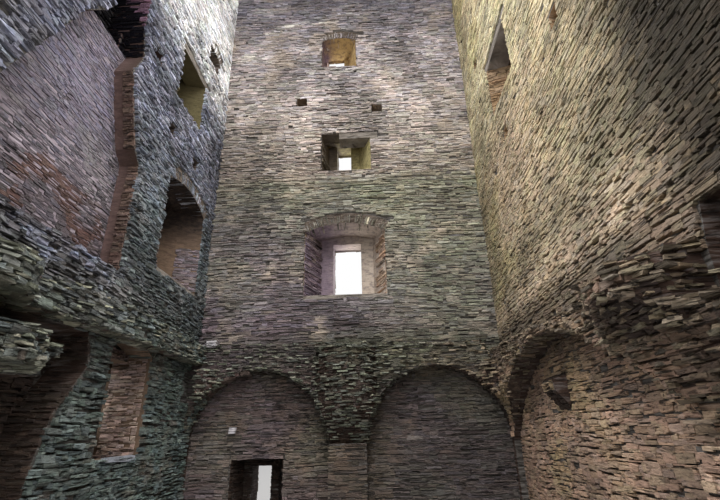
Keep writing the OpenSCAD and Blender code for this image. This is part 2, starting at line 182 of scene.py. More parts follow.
def slate_material(name, mortar, leaf=1.0, smear=0.0):
    """Split slate: each stone's own colour, thin leaves, slits along its bed and pits painted dark as shade,
    mortar in patches.

    Smeared mortar also runs over the joints from stone to stone, and has short gaps painted dark as shade.
    """
    m = Nodes(bpy.data.materials.new(name))
    stone = m.add("ShaderNodeAttribute", attribute_name="stone")
    leaves = m.noise(7.0 * leaf, 6.0, 0.68, (1, 1, 8), 0.3)
    slits = m.spread(m.noise(3.2 * leaf, 3.0, 0.6, (1, 1, 9), 0.6), 0.56, 0.66)
    pits = m.spread(m.noise(26.0, 3.0, 0.6, (1, 1, 2.2)), 0.58, 0.72)
    color = stone.outputs["Color"]
    light = m.mix(1.0, color, (1.36, 1.35, 1.34), "MULTIPLY")
    dark = m.mix(1.0, color, (0.50, 0.50, 0.50), "MULTIPLY")
    color = m.mix(m.spread(leaves, 0.36, 0.68), light, dark)
    worn = m.spread(m.noise(1.3, 5.0, 0.62), 0.50, 0.64)
    limed = m.calc("MULTIPLY", worn, stone.outputs["Alpha"])
    color = m.mix(m.calc("MULTIPLY", limed, 0.7), color, mortar)
    if smear:
        smeared = m.spread(m.noise(2.2, 5.0, 0.65), 0.40, 0.58, 0.0, smear)
        paler = m.mix(1.0, stone.outputs["Color"], (1.12, 1.12, 1.12), "MULTIPLY")
        color = m.mix(smeared, color, paler)
        gaps = m.spread(m.noise(7.5, 3.0, 0.55, (1, 1, 5.5), 0.4), 0.585, 0.63)
        slits = m.calc("MAXIMUM", slits, gaps)
    slits = m.calc("MULTIPLY", slits, m.spread(m.noise(0.9, 3.0), 0.35, 0.6, 0.25, 0.85))
    color = m.mix(slits, color, SLIT_SHADE)
    color = m.mix(m.calc("MULTIPLY", pits, 0.5), color, PIT_SHADE)
    height = m.calc("SUBTRACT", leaves, m.calc("MULTIPLY", slits, 0.9))
    height = m.calc("SUBTRACT", height, m.calc("MULTIPLY", pits, 0.35))
    lumps = m.noise(11.0, 3.0, 0.6, (1, 1, 1.6))
    height = m.calc("ADD", height, m.calc("MULTIPLY", lumps, 0.9))
    return m.finish(color, 0.88, height, 0.9, 0.026)


def bedding_material(name, tone, shade):
    """Broken wall behind the slates' faces, which shows on jambs and soffits: thin beds in mortar, with slits
    painted dark as shade.
    """
    m = Nodes(bpy.data.materials.new(name))
    beds = m.noise(3.4, 6.0, 0.66, (1, 1, 8), 0.4)
    stops = [(0.0, mixed(tone, (1, 1, 1), 0.10)), (0.5, tone), (1.0, shade)]
    color = m.ramp(m.spread(beds, 0.32, 0.68), stops)
    slits = m.spread(m.noise(2.6, 3.0, 0.6, (1, 1, 11), 0.5), 0.56, 0.68)
    color = m.mix(m.calc("MULTIPLY", slits, 0.8), color, SLIT_SHADE)
    color = m.mix(m.spread(m.noise(1.1, 4.0), 0.42, 0.7, 0.0, 0.7), color, shade)
    height = m.calc("SUBTRACT", beds, slits)
    return m.finish(color, 0.95, height, 0.9, 0.03)


def niche_material(name, left, right, span, axis="X"):
    """Plastered sides of a niche, whose colour changes along one axis."""
    m = Nodes(bpy.data.materials.new(name))
    place = m.add("ShaderNodeTexCoord")
    axes = m.add("ShaderNodeSeparateXYZ")
    m.link(place.outputs["Object"], axes.inputs[0])
    streaks = m.noise(5.0, 5.0, 0.65, (1, 1, 3), 0.5)
    share = m.calc("ADD", m.spread(axes.outputs[axis], *span), m.spread(streaks, 0.3, 0.7, -0.2, 0.2))
    color = m.ramp(share, [(0.1, left), (0.5, mixed(left, right, 0.6)), (0.9, right)])
    stains = m.spread(m.noise(9.0, 4.0, 0.6, (1, 1, 2)), 0.45, 0.75, 0.0, 0.75)
    color = m.mix(stains, color, mixed(left, (0, 0, 0), 0.6))
    return m.finish(color, 0.95, streaks, 0.7, 0.02)


MORTARS = (
    ("slate_warm", (172, 156, 138)),
    ("slate_cool", (128, 122, 120), 1.25, 0.5),
    ("slate_ochre", (160, 136, 104), 0.9, 0.9),
    ("slate_dark", (112, 94, 80), 1.0, 0.6),
    ("slate_outside", (165, 150, 128), 0.8),
)
MATERIALS = {name: slate_material(name, linear(mortar), *rest) for name, mortar, *rest in MORTARS}
# Behind faces that are clad, only the slits between stones show the wall, painted dark as shade
DEEP_SHADE = bedding_material("deep_slits", (0.075, 0.064, 0.055), (0.010, 0.009, 0.008))
BEDDING = {}
for slot, tone, shade in (
    ("slate_warm", (138, 118, 98), (84, 68, 55)),
    ("slate_cool", (92, 78, 70), (46, 40, 38)),
    ("slate_ochre", (140, 112, 82), (80, 60, 44)),
    ("slate_dark", (66, 50, 42), (34, 26, 22)),
    ("slate_edge", (94, 82, 72), (52, 44, 38)),
    ("slab", (122, 113, 104), (82, 75, 69)),
    ("plaster", (128, 116, 122), (84, 74, 78)),
):
    bedding = "bedding_" + slot.removeprefix("slate_")
    BEDDING[slot] = bedding_material(bedding, linear(tone), linear(shade))
# The sides of the fireplace recess and of the window niche beside it, browned by smoke; the niche darkens to
# near black towards its head as painted shade
SMOKED_AND_SHADED = (
    niche_material("smoked_recess", linear((92, 73, 70)), linear((62, 48, 42)), (-3.6, -3.22)),
    niche_material("smoked_niche", linear((98, 80, 66)), linear((28, 22, 20)), (5.8, 6.75), "Z"),
    niche_material("olive_niche", linear((92, 84, 58)), linear((72, 64, 44)), (8.4, 10.2), "Z"),
)

# Inside of the back wall's niches: foot, head and material
NICHE_SIDES = (
    (5.0, 7.0, niche_material("niche_first", linear((112, 98, 106)), linear((166, 152, 138)), (-0.6, 0.5))),
    (8.2, 9.7, niche_material("niche_second", linear((84, 74, 64)), linear((160, 148, 104)), (-0.4, 0.5))),
    (11.5, 13.2, niche_material("niche_third", linear((96, 78, 88)), linear((180, 152, 104)), (-0.7, -0.1))),
)


# Places in a node's list of materials
BARE, HIDDEN, RECESS, NICHE_SHADED_HEAD, OLIVE_NICHE, BACK_NICHES = range(6)
# How far from a wall's faces the sides of its niches start, and how deep the left wall's niches go
RIM = 0.05
LEFT_DEPTH = 0.9
# Openings of the left wall, as spans of Y and of Z
HEARTH = ((-0.3, 2.9), (4.5, 8.35))
HEARTH_AND_FLUE = ((-0.3, 2.9), (4.5, 9.95))
LEFT_NICHES = (((3.7, 5.7), (5.0, 7.1)), ((3.4, 5.1), (8.1, 10.3)))
GROUND_NICHE = ((2.9, 5.7), (1.9, 3.75))
LEFT_SIDES = (
    (HEARTH_AND_FLUE, RECESS),
    (LEFT_NICHES[0], NICHE_SHADED_HEAD),
    (LEFT_NICHES[1], OLIVE_NICHE),
    (GROUND_NICHE, NICHE_SHADED_HEAD),
)
# A face turned this squarely to its wall's thickness is hidden behind slates
SQUARE = 0.97


def within(place, spans):
    """Whether a place lies in spans of Y and of Z."""
    (near, far), (foot, head) = spans
    return near < place.y < far and foot < place.z < head


def dress_nodes():
    """Gives each piece its bedding, and the faces that stones will cover the painted shade of their slits."""
    slots = {part["node"]: part["material_slot"] for part in frame["record"]["subparts"]}
    for name, obj in frame["nodes"].items():
        mesh = obj.data
        mesh.materials.clear()
        mesh.materials.append(BEDDING[slots[name]])
        mesh.materials.append(DEEP_SHADE)
        for material in (*SMOKED_AND_SHADED, *(side[2] for side in NICHE_SIDES)):
            mesh.materials.append(material)
        for polygon in mesh.polygons:
            polygon.material_index = slot_for(name, polygon.center, polygon.normal)


def slot_for(name, place, normal):
    """Which of a node's materials a face of it has."""
    if name == "fireplace_back":
        return BARE
    in_wall = HALF_L + RIM < place.y < HALF_L + WALL - RIM
    if in_wall and abs(place.x) < 1.2 and "second_storey" not in name:
        for i, (foot, head, _) in enumerate(NICHE_SIDES):
            if foot < place.z < head:
                return BACK_NICHES + i
    if faces_out(name, place, normal):
        return HIDDEN
    if -HALF_W - LEFT_DEPTH < place.x < -HALF_W - 0.02:
        for spans, slot in LEFT_SIDES:
            if within(place, spans):
                return slot
    return BARE


def faces_out(name, place, normal):
    """Whether a face looks along its wall's own thickness, in or out."""
    words = name.split("_")
    if name.startswith("niche_arch"):
        return False
    if name == "wall_pilasters":
        across = normal.y if abs(place.y) > HALF_L - 0.5 else normal.x
    elif "corner" in words or "springer" in words:
        return False
    elif "left" in words or "right" in words:
        across = normal.x
    elif "back" in words or "front" in words:
        across = normal.y
    else:
        return False
    return abs(across) > SQUARE


# Colours by height above the ground, on each inner wall; the left wall's near-white band from 9.9 m up is a
# painted patch of sunlight
HEIGHTS = {
    "back": ((0.0, (80, 70, 64)), (2.0, (84, 75, 68)), (3.3, (62, 53, 48)), (4.0, (62, 60, 54)),
             (4.4, (96, 88, 90)), (5.0, (104, 97, 98)), (6.5, (116, 112, 104)), (7.9, (122, 119, 105)),
             (8.2, (142, 132, 123)), (9.5, (162, 152, 145)), (11.5, (170, 161, 160)),
             (12.6, (150, 142, 143)), (14.0, (128, 123, 130))),
    "left": ((0.0, (70, 70, 72)), (2.0, (92, 100, 97)), (3.6, (80, 83, 79)), (4.6, (88, 84, 90)),
             (5.8, (100, 102, 112)), (7.5, (120, 120, 134)), (9.3, (132, 134, 146)),
             (9.9, (208, 208, 211)), (15.0, (212, 212, 214))),
    "right": ((0.0, (128, 106, 92)), (2.2, (152, 128, 110)), (3.2, (112, 94, 80)), (3.9, (92, 82, 70)),
              (4.3, (150, 134, 114)), (5.0, (124, 113, 92)), (7.0, (132, 120, 97)),
              (10.0, (186, 175, 145)), (13.0, (182, 168, 136))),
}
HEIGHTS["front"] = HEIGHTS["back"]
OUTSIDE_HEIGHTS = ((0.0, (96, 92, 78)), (1.5, (116, 108, 94)), (5.0, (134, 124, 108)),
                   (16.0, (152, 142, 126)))
FIRE_BACK = ((4.5, (72, 64, 66)), (5.8, (92, 86, 93)), (7.0, (116, 110, 124)), (8.0, (114, 107, 118)),
             (9.5, (86, 78, 82)))
# Colours of the left wall's niche sides by height; the near black at 7 m is painted shade under the first
# niche's head
LEFT_NICHE_SIDES = ((5.0, (84, 70, 66)), (6.2, (74, 60, 52)), (7.0, (40, 32, 28)), (8.8, (108, 98, 74)),
                    (11, (140, 130, 104)))

# Colours and stains of the masonry, and painted shade
JAMB = (138, 114, 88)
LOW_JAMB = (52, 42, 37)
# Near black: soot in the flue, and painted shade in beam sockets and on the flue's jamb
SOOT_AND_SHADE = (10, 9, 16)
PALE_STREAK = (206, 196, 186)
LILAC = (118, 104, 112)
OLIVE = (126, 122, 104)
DAMP = (64, 57, 60)
MOSSY = (84, 92, 66)
GREENISH = (86, 98, 94)
BURNT = (78, 54, 46)
SMOKE = (74, 66, 70)
PALE_FLECKS = (140, 146, 166)
COOL_FIRST = (76, 76, 88)
COOL_SECOND = (80, 80, 92)
# Painted shade on the right wall's near part, above the ledge and over a band of its ground storey
PAINTED_SHADE_PANEL = (32, 27, 21)
PAINTED_SHADE_FOOT = (40, 32, 27)
SANDY = (168, 148, 126)
LICHEN = (108, 102, 62)
OUTSIDE_SAND = (152, 140, 118)


def stained(color, stain, share, *edges):
    """A colour with a share of a stain, which fades in over edges given as value, start and end."""
    for edge in edges:
        share *= smooth(*edge)
    return mixed(color, stain, share)


# A face turned less squarely to the room than this, or deeper in the wall, is the side of a niche
SIDEWAYS = 0.8
NICHE_START = 0.3


def wall_color(side, place, normal):
    """The base colour of masonry at a place, as a picture shows it, with a painted patch of sunlight high on
    the left wall and painted shade on the right wall's near part.
    """
    x, y, z = place
    color = steps(z, HEIGHTS[side])
    wide = noise.noise(place * 0.45 + Vector((3, 8, 1)))
    patch = noise.noise(place * 0.9 + Vector((9, 2, 5)))
    light = 1 + 0.25 * patch + 0.22 * noise.noise(place * 2.4)
    color = tuple(c * light for c in color)
    if side == "back":
        streak = noise.noise(Vector((x * 1.3 + 4, 2, z * 3.2)))
        color = stained(color, PALE_STREAK, 0.55, (streak, 0.0, 0.5), (z, 10.2, 12), (0.6 - x, 0, 1))
        color = stained(color, LILAC, 0.40, (-x + wide, 0.2, 2.0), (9.0 - z, 0, 4))
        color = stained(color, OLIVE, 0.4, (x + wide, 0.0, 1.6), (10.0 - z, 0, 3))
        color = stained(color, DAMP, 0.7, (x, 0.4, 1.0), (3.6 - z, 0, 0.6))
        color = stained(color, MOSSY, 0.25, (patch, -0.1, 0.5), (8.2 - z, 0, 0.6))
    if side == "left":
        heat = Vector((y - 0.4, (z - 5.2) * 1.6)).length + 0.6 * noise.noise(place * 3)
        fleck = noise.noise(place * 6)
        color = stained(color, GREENISH, 0.5, (y + wide, 1.8, 3.6), (8.5 - z, 0, 3))
        color = stained(color, BURNT, 0.8, (0.75 - heat, 0.0, 0.4))
        color = stained(color, SMOKE, 0.55, (2.9 - y, 0, 0.4), (6.0 - z, 0, 0.4), (z, 4.6, 4.9))
        flecked = ((fleck, 0.0, 0.25), (4.75 - z, 0, 0.3), (z, 4.0, 4.2), (3.2 - y, 0, 1))
        color = stained(color, PALE_FLECKS, 0.65, *flecked)
        color = stained(color, COOL_FIRST, 0.45, (z, 6.2, 6.6), (0.9 - y, 0, 0.4), (8.2 - z, 0, 0.4))
        color = stained(color, COOL_SECOND, 0.5, (z, 8.0, 8.4), (2.6 - y, 0, 0.4), (9.9 - z, 0, 0.3))
    if side == "right":
        # The right wall's near part is painted dark as shade: from the ledge up, and from 2.2 to 3.3 m
        near = smooth(0.9 - y + 0.5 * wide, 0.0, 1.2)
        color = stained(color, PAINTED_SHADE_PANEL, 0.88 * near, (z, 3.7, 4.1))
        color = stained(color, PAINTED_SHADE_FOOT, 0.7 * near, (z, 2.2, 2.5), (3.3 - z, 0, 0.3))
        color = stained(color, SANDY, 0.6, (2.2 - abs(y - 3.6), 0.0, 1.5), (2.0 - abs(z - 6.6), 0, 1.5))
        color = stained(color, LICHEN, 0.35, (patch, 0.0, 0.5), (y, 1.0, 4.0))
    deep = abs(y) - HALF_L if side in ("back", "front") else abs(x) - HALF_W
    if abs(normal.dot(INSIDE[side].look)) < SIDEWAYS or deep > NICHE_START:
        color = niche_color(side, place, deep)
    return color


# Sides of the niches of the back wall: up to this height, the left side, the right side and where they meet
NICHES = (
    (8.0, (104, 91, 100), (148, 122, 102), -0.05),
    (11.0, (84, 76, 66), (160, 148, 104), 0.0),
    (TOP, (92, 74, 84), (176, 146, 96), -0.45),
)
HALF_BLEND = 0.25
# The backs of the beam sockets lie between these depths, and are painted near black as shade
SOCKET_BACK = (0.46, 0.5)


def niche_color(side, place, deep):
    """The colour of a niche's sides, or of a beam socket's back, painted near black as shade."""
    if SOCKET_BACK[0] < deep < SOCKET_BACK[1]:
        return SOOT_AND_SHADE
    if side == "left":
        return steps(place.z, LEFT_NICHE_SIDES)
    if side == "right" or place.z < LEDGE:
        return mixed(LOW_JAMB, JAMB, smooth(place.z, 3.8, 8.0))
    for top, left, right, middle in NICHES:
        if place.z < top:
            return mixed(left, right, smooth(place.x, middle - HALF_BLEND, middle + HALF_BLEND))
    return JAMB


def outside_color(place):
    """Masonry outside: greener below 6 m and sandier above."""
    patch = noise.noise(place * 0.5)
    stain = MOSSY if place.z < 6 else OUTSIDE_SAND
    return stained(steps(place.z, OUTSIDE_HEIGHTS), stain, 0.45, (patch, -0.1, 0.5))


TINTS = ((1, 1, 1), (1.02, 1.0, 0.97), (0.98, 0.99, 1.02), (0.99, 1.01, 0.98), (1.02, 0.99, 0.99))
LIGHTEST = 246


def stone_color(base, spread):
    """One stone's colour: lighter or darker than its wall, a little warmer, greyer or greener."""
    tint = random.choice(TINTS)
    light = math.exp(random.gauss(0.0, spread))
    return linear([min(c * t * light, LIGHTEST) for c, t in zip(base, tint)])


class Surface:
    """All nodes as one surface that rays can meet."""

    def __init__(self):
        corners, faces, self.owner = [], [], []
        for name, obj in frame["nodes"].items():
            base = len(corners)
            corners.extend(obj.matrix_world @ v.co for v in obj.data.vertices)
            for polygon in obj.data.polygons:
                faces.append([base + i for i in polygon.vertices])
                self.owner.append(name)
        self.tree = BVHTree.FromPolygons(corners, faces)

    def meet(self, start, way):
        place, normal, index, _ = self.tree.ray_cast(start, way)
        if place is None or normal.dot(way) > -0.12:
            return None
        return place, normal, self.owner[index]


FLAT = 0.02
SHORTEST = 0.03
THINNEST = 0.010
BURIED = 0.03
CORNERS = ((0, 0), (1, 0), (1, 1), (0, 1))
# A stone longer than this is tried between its ends too, so that none bridges a narrow opening
TRIED_LONG = 0.11
BETWEEN = (0.5, 0.25, 0.75)


def alike(first, second):
    """Whether two rays met one smooth stretch of wall."""
    if first is None or second is None:
        return first is second
    return second[1].dot(first[1]) > 0.94 and abs((second[0] - first[0]).dot(first[1])) < FLAT


class Face:
    """A wall face as a viewer sees it: u to the right, z up, from a plane in front of it."""

    def __init__(self, eye, look):
        self.eye = Vector(eye)
        self.look = Vector(look).normalized()
        self.right = self.look.cross(UP)

    def meet(self, surface, u, z):
        return surface.meet(self.eye + self.right * u + UP * z, self.look)


class Quad(namedtuple("Quad", "left right low high")):
    """A stone's place on a face: its ends, and the heights of its bed and top at both."""

    def at(self, s, t):
        low = self.low[0] + (self.low[1] - self.low[0]) * s
        high = self.high[0] + (self.high[1] - self.high[0]) * s
        return self.left + (self.right - self.left) * s, low + (high - low) * t

    def cut(self, start, end, foot=0.0, head=1.0):
        (left, low_0), (right, low_1) = self.at(start, foot), self.at(end, foot)
        return Quad(left, right, (low_0, low_1), (self.at(start, head)[1], self.at(end, head)[1]))

    def long(self):
        return self.right - self.left

    def thick(self):
        return min(self.high[0] - self.low[0], self.high[1] - self.low[1])


BOX_FACES = ((0, 1, 2, 3), (5, 4, 7, 6), (4, 0, 3, 7), (1, 5, 6, 2), (3, 2, 6, 7), (4, 5, 1, 0))


class Stones:
    """Collects stones as closed boxes and makes one mesh of them."""

    def __init__(self, name, slot, material):
        self.name = name
        self.slot = slot
        self.material = material
        self.corners = []
        self.faces = []
        self.colors = []

    def add(self, front, back, color, limed):
        base = len(self.corners)
        self.corners.extend(front)
        self.corners.extend(back)
        self.faces.extend(tuple(base + i for i in face) for face in BOX_FACES)
        self.colors.extend((*color, limed) * 8)

    def slab(self, middle, along, out, up, size, color, limed=0.0):
        """A free stone: a box by its middle, three directions and three sizes, with rough corners."""
        half_a, half_o, half_u = (s / 2 for s in size)
        front, back = [], []
        for a, u in ((-1, -1), (1, -1), (1, 1), (-1, 1)):
            for side, way in ((front, 1), (back, -1)):
                side.append(
                    middle
                    + along * a * half_a * random.uniform(0.72, 1.0)
                    + up * u * half_u * random.uniform(0.6, 1.0)
                    + out * way * half_o * random.uniform(0.75, 1.0)
                )
        self.add(front, back, color, limed)

    def build(self):
        mesh = bpy.data.meshes.new(self.name)
        mesh.from_pydata([tuple(c) for c in self.corners], [], self.faces)
        colors = mesh.attributes.new("stone", "FLOAT_COLOR", "POINT")
        colors.data.foreach_set("color", self.colors)
        mesh.materials.append(self.material)
        mesh.update()
        piece = bpy.data.objects.new(self.name, mesh)
        bpy.context.collection.objects.link(piece)
        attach(piece, "root")
        return piece


# How a wall's slates are laid: sizes in metres, shares from 0 to 1
LOOK_WORDS = "course length proud split slit gap swell spread tooth lost"
Look = namedtuple("Look", LOOK_WORDS, defaults=(0.03, 0.012))

# The courses' waves, as turns along the wall and heights
WAVES = ((0.8, 0.018), (2.1, 0.010), (5.3, 0.004))
# Beside and behind the eye the side walls' slates are longer, by this factor, and not split
LONGER = 2.3
SEEN_FROM = -0.9
# Stones thinner than the first aren't split, thicker than the second are split in three
SPLIT_FROM = 0.042
THREE_FROM = 0.09
# A slit that takes a larger share of its cell leaves no stone in it
MOST_SLIT = 0.6
# What is left free on both sides of an edge of the wall, as shares of a stone's length and thickness
END_FREE = 0.02
BED_FREE = 0.04
# Bevels and skewed ends: most in metres, and as a share of the stone
MOST_BEVEL = 0.010
BEVEL_SHARE = 0.16
MOST_SKEW = 0.045
SKEW_SHARE = 0.14
LEAST_PROUD = 0.002
# Neighbours overlap by this much at their ends and beds
END_LAP = 0.006
BED_LAP = 0.004


class Mason:
    """Lays courses of slates on one face of the surface.

    It lays none where bare(place) is true or where the wall turns away from it by more than facing
    allows, and plainer ones at each u where plainer(u) is true.
    """

    def __init__(self, stones, face, surface, look, color, bare=None, facing=0.0, plainer=None):
        self.stones = stones
        self.face = face
        self.surface = surface
        self.look = look
        self.color = color
        self.bare = bare
        self.facing = facing
        self.plainer = plainer or (lambda u: False)

    def meet(self, quad, s, t):
        hit = self.face.meet(self.surface, *quad.at(s, t))
        if hit is not None and -hit[1].dot(self.face.look) < self.facing:
            return None
        return hit

    def edge(self, quad, axis, first):
        """How far along a quad its first stretch of wall goes on."""
        low, high = 0.0, 1.0
        for _ in range(5):
            middle = (low + high) / 2
            spot = (middle, 0.5) if axis == 0 else (0.5, middle)
            if alike(first, self.meet(quad, *spot)):
                low = middle
            else:
                high = middle
        return (low + high) / 2

    def lay(self, quad, depth=3):
        """Lays one stone, or smaller ones where an edge of the wall runs through it."""
        if quad.thick() < THINNEST or quad.long() < SHORTEST:
            return
        hits = [self.meet(quad, s, t) for s, t in CORNERS]
        if hits[0] is not None and all(alike(hits[0], hit) for hit in hits[1:]):
            if quad.long() < TRIED_LONG or all(alike(hits[0], self.meet(quad, s, 0.5)) for s in BETWEEN):
                self.place(quad, hits)
            elif depth > 0:
                self.lay(quad.cut(0, 0.5), depth - 1)
                self.lay(quad.cut(0.5, 1), depth - 1)
            return
        if depth == 0:
            return
        for axis, ends in ((0, ((0, 0.5), (1, 0.5))), (1, ((0.5, 0), (0.5, 1)))):
            first, last = (self.meet(quad, *end) for end in ends)
            if not alike(first, last):
                share = self.edge(quad, axis, first)
                if axis == 0:
                    tooth = random.uniform(-self.look.tooth, self.look.tooth * 0.3) / quad.long()
                    self.lay(quad.cut(0, max(share - END_FREE + tooth * (first is not None), 0)), depth - 1)
                    self.lay(quad.cut(min(share + END_FREE, 1), 1), depth - 1)
                else:
                    self.lay(quad.cut(0, 1, 0, max(share - BED_FREE, 0)), depth - 1)
                    self.lay(quad.cut(0, 1, min(share + BED_FREE, 1), 1), depth - 1)
                return
        if hits != [None] * 4:
            self.lay(quad.cut(0, 0.5), depth - 1)
            self.lay(quad.cut(0.5, 1), depth - 1)

    def place(self, quad, hits):
        """Adds one stone, unless it is lost or its place is bare."""
        spot, normal, owner = hits[0]
        if owner in RINGS or random.random() < self.look.lost:
            return
        if self.bare is not None and self.bare(spot) or not self.facing and in_smooth_niche(spot):
            return
        look, face = self.look, self.face
        rough = 0.5 + 0.5 * noise.noise(spot * 0.5 + Vector((7, 3, 1)))
        low, high = look.proud
        swell = look.swell * (0.5 + 0.5 * noise.noise(spot * 0.6))
        proud = swell + low + (high - low) * random.random() ** (3.4 - 2.2 * rough)
        tilt = random.uniform(-0.2, 0.35) * (proud - swell)
        thick = quad.thick()
        bevel = min(MOST_BEVEL, thick * BEVEL_SHARE)
        skew = min(MOST_SKEW, quad.long() * SKEW_SHARE)
        front, back = [], []
        for (place, way, _), (s, t) in zip(hits, CORNERS):
            side, level = 2 * s - 1, 2 * t - 1
            push = max(proud + tilt * level + random.uniform(-0.2, 0.2) * (high - low) * 0.5, LEAST_PROUD)
            shift = face.right * (random.uniform(-skew, skew) * 0.5 + side * END_LAP)
            shift += UP * (random.uniform(-0.3, 0.3) * thick - level * bevel * 0.6)
            front.append(place + way * push + shift)
            back.append(place - way * BURIED + face.right * side * END_LAP + UP * level * BED_LAP)
        limed = smooth(noise.noise(spot * 0.7 + Vector((1, 5, 9))) + random.uniform(-0.3, 0.3), -0.3, 0.5)
        self.stones.add(front, back, stone_color(self.color(spot, normal), look.spread), limed)

    def cell(self, quad):
        """Fills one cell of a course with one stone, or with thin leaves, over an open slit or none."""
        thick = quad.thick()
        foot = 0.0
        patch = noise.noise(Vector((*quad.at(0.5, 0.5), 4)) * 0.8)
        slit = self.look.slit * (0.4 + 1.4 * smooth(patch, -0.4, 0.5))
        if random.random() < slit:
            foot = random.uniform(*self.look.gap) / thick
        if foot > MOST_SLIT:
            return
        cuts = [foot, 1.0]
        if thick > SPLIT_FROM and random.random() < self.look.split and not self.plainer(quad.left):
            cuts = [foot, foot + (1 - foot) * random.uniform(0.25, 0.75), 1.0]
            if thick > THREE_FROM:
                cuts.insert(2, (cuts[1] + 1.0) / 2)
        for low, high in zip(cuts, cuts[1:]):
            start = random.uniform(0, 0.06) if random.random() < 0.5 else 0.0
            end = 1 - (random.uniform(0, 0.08) if random.random() < 0.5 else 0.0)
            self.lay(quad.cut(start, end, low, high))

    def clad(self, span, heights):
        """Lays wavy courses over the part of a face between two places and two heights."""
        z = heights[0]
        phases = [random.uniform(0, 6.3) for _ in WAVES]

        def line(height, turn):
            ends = smooth(height, heights[0], heights[0] + 0.3) * smooth(heights[1] - height, 0, 0.3)
            return lambda u: height + ends * sum(a * math.sin(w * u + p) for (w, a), p in zip(WAVES, turn))

        below = line(z, phases)
        while z < heights[1] - THINNEST:
            z = min(z + random.uniform(*self.look.course), heights[1])
            phases = [p + random.uniform(-0.35, 0.35) for p in phases]
            above = line(z, phases)
            u = span[0] - random.uniform(0, self.look.length[0])
            while u < span[1]:
                short, long = self.look.length
                length = short + (long - short) * random.random() ** 1.7
                if self.plainer(u):
                    length *= LONGER
                left, right = max(u, span[0]), min(u + length, span[1])
                if right - left > SHORTEST:
                    drop = random.uniform(-0.012, 0.012)
                    low = (below(left) + drop, below(right) + drop)
                    high = (above(left) + drop, above(right) + drop)
                    self.cell(Quad(left, right, low, high))
                u += length
            below = above


INSIDE = {
    "back": Face((0, 4.9, 0), (0, 1, 0)),
    "front": Face((0, -4.9, 0), (0, -1, 0)),
    "left": Face((-1.8, 0, 0), (-1, 0, 0)),
    "right": Face((1.8, 0, 0), (1, 0, 0)),
}
OUTSIDE = {
    "front": (Face((0, -9, 0), (0, 1, 0)), HALF_W + WALL),
    "back": (Face((0, 9, 0), (0, -1, 0)), HALF_W + WALL),
    "left": (Face((-6, 0, 0), (1, 0, 0)), HALF_L + WALL),
    "right": (Face((6, 0, 0), (-1, 0, 0)), HALF_L + WALL),
}
LOOKS = {
    "back": Look((0.034, 0.095), (0.07, 0.36), (0.003, 0.026), 0.55, 0.42, (0.010, 0.026), 0.03, 0.09),
    "front": Look((0.06, 0.12), (0.16, 0.5), (0.004, 0.04), 0.25, 0.25, (0.010, 0.03), 0.03, 0.14),
    "left": Look((0.032, 0.085), (0.06, 0.28), (0.004, 0.050), 0.25, 0.55, (0.010, 0.034),
                 0.05, 0.11, 0.10, 0.02),
    "first_left": Look((0.026, 0.070), (0.05, 0.24), (0.003, 0.045), 0.20, 0.55, (0.010, 0.030),
                       0.06, 0.11, 0.10, 0.03),
    "third_left": Look((0.042, 0.100), (0.08, 0.34), (0.002, 0.022), 0.25, 0.22, (0.008, 0.018),
                       0.03, 0.06, 0.04, 0.01),
    "third_right": Look((0.044, 0.110), (0.08, 0.36), (0.001, 0.018), 0.40, 0.45, (0.010, 0.026),
                        0.05, 0.05, 0.03, 0.02),
    "right": Look((0.036, 0.095), (0.06, 0.30), (0.001, 0.016), 0.45, 0.48, (0.009, 0.024),
                  0.05, 0.05, 0.03, 0.02),
    "first_right": Look((0.028, 0.075), (0.05, 0.22), (0.001, 0.013), 0.20, 0.50, (0.009, 0.022),
                        0.06, 0.045, 0.03, 0.03),
    "recess": Look((0.028, 0.070), (0.05, 0.22), (0.001, 0.014), 0.0, 0.55, (0.010, 0.022),
                   0.01, 0.06, 0.02, 0.02),
    "outside": Look((0.10, 0.19), (0.26, 0.75), (0.005, 0.04), 0.12, 0.12, (0.010, 0.03), 0.03, 0.12),
    "jamb": Look((0.03, 0.07), (0.08, 0.28), (0.003, 0.03), 0.1, 0.2, (0.008, 0.02), 0.01, 0.09),
}
TONES = {"back": "slate_warm", "front": "slate_warm", "left": "slate_cool", "right": "slate_ochre"}
# Arches, lintels and sills, which no slates cover
RINGS = ("niche_arch_first_back", "niche_arch_first_left", "niche_arch_first_front", "niche_arch_ground_left",
         "third_storey_arches", "door_arch", "second_storey_lintels", "sills")

# Cracks of the back wall, as places of X and Z
CRACKS = (
    ((-0.17, 13.0), (0.03, 13.35), (0.24, 14.05)),
    ((0.10, 8.25), (0.04, 8.02), (-0.14, 7.98), (-0.20, 7.8), (-0.18, 7.45)),
    ((-0.11, 9.46), (-0.25, 9.7), (-0.39, 9.95)),
)
CRACK_REACH = 0.022
# Depths in the wall: where the back's plaster starts below 8 m, and the left's recess and hollows
PLASTER_START = 0.62
RECESS_START = 0.2
HOLLOW_START = 0.3
FLUE_FOOT = 8.25
# The low hollow's back: its own brown, darkened as painted shade
HOLLOW_BACK_SHADE = (48, 38, 33)


def on_crack(spot):
    for points in CRACKS:
        for (x0, z0), (x1, z1) in zip(points, points[1:]):
            along = Vector((x1 - x0, z1 - z0))
            away = Vector((spot.x - x0, spot.z - z0))
            share = min(max(away.dot(along) / along.length_squared, 0), 1)
            if (away - along * share).length < CRACK_REACH:
                return True
    return False


def in_smooth_niche(spot):
    """Inside the plastered niches of the back and left walls, where no slates show."""
    start = PLASTER_START if spot.z < 8 else RIM
    back = HALF_L + start < spot.y < HALF_L + WALL - RIM and abs(spot.x) < 1.0
    in_wall = -HALF_W - LEFT_DEPTH < spot.x < -HALF_W - RIM
    left = in_wall and any(within(spot, spans) for spans in LEFT_NICHES)
    return back and 4.5 < spot.z < 13.2 or left


def in_fire_recess(spot):
    return spot.x < -HALF_W - RECESS_START and within(spot, HEARTH)


